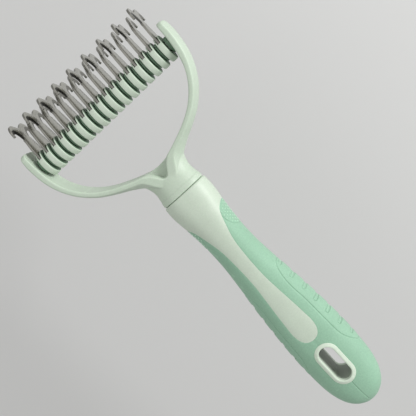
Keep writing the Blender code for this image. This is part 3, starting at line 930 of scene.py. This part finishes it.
def grip_sheet():
    """The grip's outer skin as an open sheet."""
    relief = grip_relief()
    columns = 72
    # flat sheet first: x is the share of the way to the front edge
    build = bmesh.new()
    rows = [[build.verts.new((-1 + 2 * j / columns, y, 0.0)) for j in range(columns + 1)]
            for y in grip_rows()]
    for low, high in zip(rows, rows[1:]):
        for j in range(columns):
            build.faces.new((low[j], low[j + 1], high[j + 1], high[j]))

    edge_angles = {}

    def angle_of(share, y):
        """Angle of a sheet point; points of one row share one edge angle."""
        key = round(y, 5)
        if key not in edge_angles:
            edge_angles[key] = edge_angle(y)
        return share * edge_angles[key]

    # finer faces near the lines
    for limit in (0.40, 0.17):
        picked = set()
        for face in build.faces:
            middle = face.calc_center_median()
            if middle.y > 202.5:
                continue
            near, _ = relief(middle.y, angle_of(middle.x, middle.y))
            if near < limit:
                picked.update(face.edges)
        if picked:
            bmesh.ops.subdivide_edges(build, edges=list(picked), cuts=1,
                                      use_grid_fill=True)
    # wrap the sheet round the +x side of the handle
    for vert in build.verts:
        y = vert.co.y
        angle = angle_of(vert.co.x, y)
        lift = relief(y, angle)[1] if y <= 202.6 else 0.0
        vert.co = place(*on_handle(y, angle, lift))
    bmesh.ops.remove_doubles(build, verts=build.verts, dist=0.002 * MM)
    # the -x half
    half = build.verts[:] + build.edges[:] + build.faces[:]
    copy = bmesh.ops.duplicate(build, geom=half)["geom"]
    verts = [item for item in copy if isinstance(item, bmesh.types.BMVert)]
    faces = [item for item in copy if isinstance(item, bmesh.types.BMFace)]
    for vert in verts:
        vert.co.x = -vert.co.x
    bmesh.ops.reverse_faces(build, faces=faces)
    seam = [vert for vert in build.verts if abs(vert.co.x) < 0.004 * MM]
    bmesh.ops.remove_doubles(build, verts=seam, dist=0.006 * MM)
    # the face farthest along +x tells which way is out
    bmesh.ops.recalc_face_normals(build, faces=build.faces)
    probe = max(build.faces, key=lambda face: face.calc_center_median().x)
    if probe.normal.x < 0:
        bmesh.ops.reverse_faces(build, faces=build.faces)
    mesh = bpy.data.meshes.new("grip_skin")
    build.to_mesh(mesh)
    build.free()
    return mesh


def sunk_vertices(mesh):
    """Indices of vertices well under the handle's surface."""
    sunk = []
    for vert in mesh.vertices:
        x, y, z = comb_point(vert.co)
        wide, deep, power = handle_at(min(y + 0.3, 203.0))
        if wide > 1.8 and deep > 1.8:
            reach = (abs(x) / (wide - 0.75)) ** power + (abs(z) / (deep - 0.75)) ** power
            if reach < 1.0:
                sunk.append(vert.index)
    return sunk


def in_pad(y, degrees):
    """Whether a place lies in the dotted pad, clear of its border line."""
    line = spline(PAD, 6)
    limit = PAD[-1][0]
    for (y0, deg0), (y1, deg1) in zip(line, line[1:]):
        if min(deg0, deg1) <= degrees <= max(deg0, deg1):
            limit = y0 + (y1 - y0) * (degrees - deg0) / (deg1 - deg0)
    return y < limit - 0.75


def add_dot(build, y, angle, side):
    """A small dome standing on the grip."""
    foot = Vector(on_handle(y, angle))
    raised = on_handle(y, angle, 1.0)
    x, _, z = on_handle(y, angle)
    out = Vector((raised[0] - x, 0.0, raised[2] - z)).normalized()
    along = Vector((0.0, 1.0, 0.0))
    across = out.cross(along).normalized()
    base = foot - out * DOT_SUNK
    rings = []
    for k in range(5):
        slope = math.pi / 2 * k / 5
        ring = []
        for j in range(DOT_SIDES):
            turn = 2 * math.pi * j / DOT_SIDES
            point = base + (along * math.cos(turn) + across * math.sin(turn)) \
                * (DOT_R * math.cos(slope)) + out * (DOT_HIGH * math.sin(slope))
            ring.append(build.verts.new(place(side * point.x, point.y, point.z)))
        rings.append(ring)
    tip = base + out * DOT_HIGH
    top = build.verts.new(place(side * tip.x, tip.y, tip.z))
    faces = skin(build, rings)
    last = rings[-1]
    for j in range(DOT_SIDES):
        faces.append(build.faces.new((last[j], last[(j + 1) % DOT_SIDES], top)))
    faces.append(build.faces.new(rings[0][::-1]))
    for face in faces:
        face.material_index = 1
    bmesh.ops.recalc_face_normals(build, faces=faces)


def add_dots(mesh):
    """Staggered rows of dots on both thumb pads."""
    build = bmesh.new()
    build.from_mesh(mesh)
    row = 0
    degrees = 0.0
    while degrees < 60.0:
        angle = math.radians(degrees)
        y = 88.4 + (DOT_PITCH / 2 if row % 2 else 0.0)
        while y < 100.6:
            if in_pad(y, degrees) and angle < edge_angle(y) - 0.09:
                for side in (-1, 1):
                    for face_sign in ((-1, 1) if degrees > 0 else (1,)):
                        add_dot(build, y, angle * face_sign, side)
            y += DOT_PITCH
        degrees += DOT_ROW_DEGREES
        row += 1
    build.to_mesh(mesh)
    build.free()


def grip_object():
    obj = new_object("grip_skin", grip_sheet(), M_MINT)
    mod = obj.modifiers.new("wall", "SOLIDIFY")
    mod.thickness = GRIP_WALL * MM
    mod.offset = -1.0
    mod.use_even_offset = False
    group = obj.vertex_groups.new(name="hidden")
    group.add(sunk_vertices(obj.data), 1.0, "REPLACE")
    mod = obj.modifiers.new("lighten", "DECIMATE")
    mod.ratio = 0.52
    mod.vertex_group = "hidden"
    mod.vertex_group_factor = 1.0
    bake(obj)
    add_dots(obj.data)
    # the dots take a lighter mint as a painted highlight
    obj.data.materials.append(M_DOT_HIGHLIGHT)
    smooth(obj, 60)
    return obj


# ------------------------------------------------------------------ the core
def handle_loop(y, lift, count):
    return [place(*on_handle(y, 2 * math.pi * (i + 0.5) / count, lift))
            for i in range(count)]


def core_skin_mesh():
    """Full handle section with a fine groove near the collar."""
    rows = [74.4, 74.46, 74.55, 74.7, 74.9, 75.15, 75.4,
            82.2, 82.35, 82.43, 82.5, 82.57, 82.65, 82.8]
    y = 76.0
    while y < TONGUE_END + 2.0:
        rows.append(y)
        y += 0.6
    return loft("core_skin", [
        handle_loop(y, -0.05 * math.exp(-((y - CORE_GROOVE_AT) / 0.09) ** 2), 176)
        for y in sorted(set(round(y, 3) for y in rows))])


def core_body_mesh():
    """The part of the core sunk under the grip."""
    loops = []
    y = 84.0
    while y < 199.5:
        loops.append(handle_loop(y, -1.45 - 0.5 * step((y - 190.0) / 6.0), 96))
        y += 1.5
    return loft("body", loops)


def rim_section(top):
    """Closed section (distance from the slot wall, z) with rounded lips."""
    lip, out, fall, edge = 0.4, 0.45, 0.36, RIM + 0.06
    quarter = [math.pi / 2 * k / 6 for k in range(1, 7)]
    half = [(0.0, 0.0), (0.0, top - 2.5), (0.0, top - lip - 0.4)]
    half += [(lip * (1 - math.cos(turn)), top - lip + lip * math.sin(turn))
             for turn in quarter]
    half += [(lip + (edge - out - lip) * share, top - fall * share * share)
             for share in (0.3, 0.55, 0.8)]
    half.append((edge - out, top - fall))
    half += [(edge - out + out * math.sin(turn), top - fall - out + out * math.cos(turn))
             for turn in quarter]
    half.append((edge, top - out - 1.2))
    return half + [(across, -z) for across, z in reversed(half[1:])]


def add_rim(mesh):
    """The rim: a tube round the slot, right through the handle."""
    build = bmesh.new()
    build.from_mesh(mesh)
    rows = []
    # a hair wider than the slot, so that the arcs' ends count as straight
    for x, y in stadium(0.0001 + SLOT_HALF_W, SLOT_HALF_L, SLOT_AT, 40, 24):
        if y > SLOT_AT + SLOT_RUN:
            off = y - SLOT_AT - SLOT_RUN
        elif y < SLOT_AT - SLOT_RUN:
            off = y - SLOT_AT + SLOT_RUN
        else:
            off = 0.0
        size = math.hypot(x, off)
        out_x, out_y = x / size, off / size
        wide, deep, power = handle_at(y + out_y * RIM)
        outer_x = min(abs(x + out_x * RIM), wide)
        surface = deep * (1 - (outer_x / wide) ** power) ** (1 / power)
        rows.append([build.verts.new(place(x + out_x * across, y + out_y * across, z))
                     for across, z in rim_section(min(RIM_TOP, surface + 0.62))])
    count = len(rows[0])
    faces = skin(build, rows + rows[:1])
    # rim faces take a lighter material as painted highlight; the slot wall faces take a
    # darker one as painted shade
    for i, face in enumerate(faces):
        face.material_index = 2 if i % count in (0, count - 1) else 1
    bmesh.ops.recalc_face_normals(build, faces=faces)
    return build


def core_object():
    """Core: full section at the collar, tongues, and a sunk body under the grip."""
    obj = new_object("core_skin", core_skin_mesh())
    half = [(20.0, 60.0), (20.0, 86.6)] + TONGUE_LINE[::2]
    cut(obj, prism("tongue", mirrored(half), -14.0, 14.0), "INTERSECT")
    cut(obj, core_body_mesh(), "UNION")
    cut(obj, oval_loft("socket", TANG_SOCKET, 40))
    cut(obj, pin_hole())
    cut(obj, prism("slot", stadium(SLOT_HALF_W + 0.9, SLOT_HALF_L + 0.9, SLOT_AT),
                   -15.0, 15.0))
    build = add_rim(obj.data)
    for material in (M_SAGE, M_RIM_HIGHLIGHT, M_SLOT_WALL_SHADE):
        obj.data.materials.append(material)
    build.to_mesh(obj.data)
    build.free()
    smooth(obj, 45)
    return obj


# --------------------------------------------------------------------- build
def attach(obj, node_name):
    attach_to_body(obj, "root")
    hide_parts(node_name)


def at_node(name, mesh, node_name):
    """A piece on the bar, at the x of the frame's node that it replaces."""
    low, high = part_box(node_name)
    obj = new_object(name, mesh)
    obj.location = ((low[0] + high[0]) / 2, FRAME_AXLE_Y, FRAME_MID_Z)
    attach(obj, node_name)


double = blade_mesh("blade_double_skin", True)
single = blade_mesh("blade_single_skin", False)
carrier = carrier_mesh("ring_band")
spacer = spacer_mesh("collar_band", 1.2, True)
end_spacer = spacer_mesh("end_collar_band", 1.5, False)

BLADES = 17
for k in range(1, BLADES + 1):
    at_node(f"blade_skin_{k:02d}", double if k % 2 else single,
            f"blade_{k:02d}")
    at_node(f"ring_skin_{k:02d}", carrier, f"blade_carrier_{k:02d}")
    if k < BLADES:
        at_node(f"spacer_skin_{k:02d}", spacer, f"spacer_{k:02d}")
for side in ("left", "right"):
    at_node(f"end_spacer_skin_{side}", end_spacer, f"end_spacer_{side}")

attach(yoke_object(), "yoke_frame")
attach(core_object(), "handle_core")
attach(grip_object(), "grip_sleeve")

for name, material in (("axle_bar", M_BAR), ("neck_pin", M_PIN)):
    for slot_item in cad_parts[name].material_slots:
        slot_item.material = material

# --------------------------------------- floor, camera and light, in metres
SCENE = bpy.context.scene
FLOOR_Z = -0.10           # the comb is shown held clear of the floor
FLOOR_HALF = 5.0
CAM_AT = Vector((-0.085517, -0.038383, 0.358804))
# the camera's axes in the frame
RIGHT = Vector((-0.7271, 0.6750, -0.1256))
UP = Vector((-0.6469, -0.7348, -0.2040))
BACK = Vector((-0.2300, -0.0671, 0.9709))
LIGHT_TARGET = Vector((0.0, 0.0, 0.01))


def make_floor():
    mesh = bpy.data.meshes.new("floor")
    build = bmesh.new()
    for x, y in ((-1, -1), (1, -1), (1, 1), (-1, 1)):
        build.verts.new((x * FLOOR_HALF, y * FLOOR_HALF, FLOOR_Z))
    build.faces.new(build.verts[:])
    build.to_mesh(mesh)
    build.free()
    material, _, bsdf = start_material("pale_floor")
    bsdf.inputs["Base Color"].default_value = (0.60, 0.60, 0.595, 1.0)
    bsdf.inputs["Roughness"].default_value = 0.85
    bsdf.inputs["Specular IOR Level"].default_value = 0.15
    new_object("floor", mesh, material)


def make_camera():
    data = bpy.data.cameras.new("camera")
    data.sensor_width = 36.0
    data.lens = 68.451923
    data.clip_start = 0.01
    obj = bpy.data.objects.new("camera", data)
    SCENE.collection.objects.link(obj)
    turn = Matrix((RIGHT, UP, BACK)).transposed()
    obj.matrix_world = Matrix.Translation(CAM_AT) @ turn.to_4x4()
    SCENE.camera = obj


def area_light(name, direction, distance, size, power):
    data = bpy.data.lights.new(name, "AREA")
    data.shape = "DISK"
    data.size = size
    data.energy = power
    obj = bpy.data.objects.new(name, data)
    SCENE.collection.objects.link(obj)
    way = direction.normalized()
    obj.location = LIGHT_TARGET + way * distance
    obj.rotation_euler = way.to_track_quat("Z", "Y").to_euler()


def make_world():
    world = bpy.data.worlds.new("soft_room")
    SCENE.world = world
    world.use_nodes = True
    sky = world.node_tree.nodes["Background"]
    sky.inputs["Color"].default_value = (1.0, 1.0, 0.99, 1.0)
    sky.inputs["Strength"].default_value = 0.60


make_floor()
make_camera()
area_light("key", RIGHT * 0.75 + UP * 0.55 + BACK * 0.70,
           distance=0.9, size=0.4, power=6.6)
area_light("fill", RIGHT * -0.7 + UP * 0.2 + BACK * 0.9,
           distance=1.1, size=0.9, power=1.4)
make_world()
SCENE.view_settings.view_transform = "Standard"
SCENE.view_settings.look = "None"
SCENE.view_settings.exposure = 0.0


bpy.context.view_layer.update()
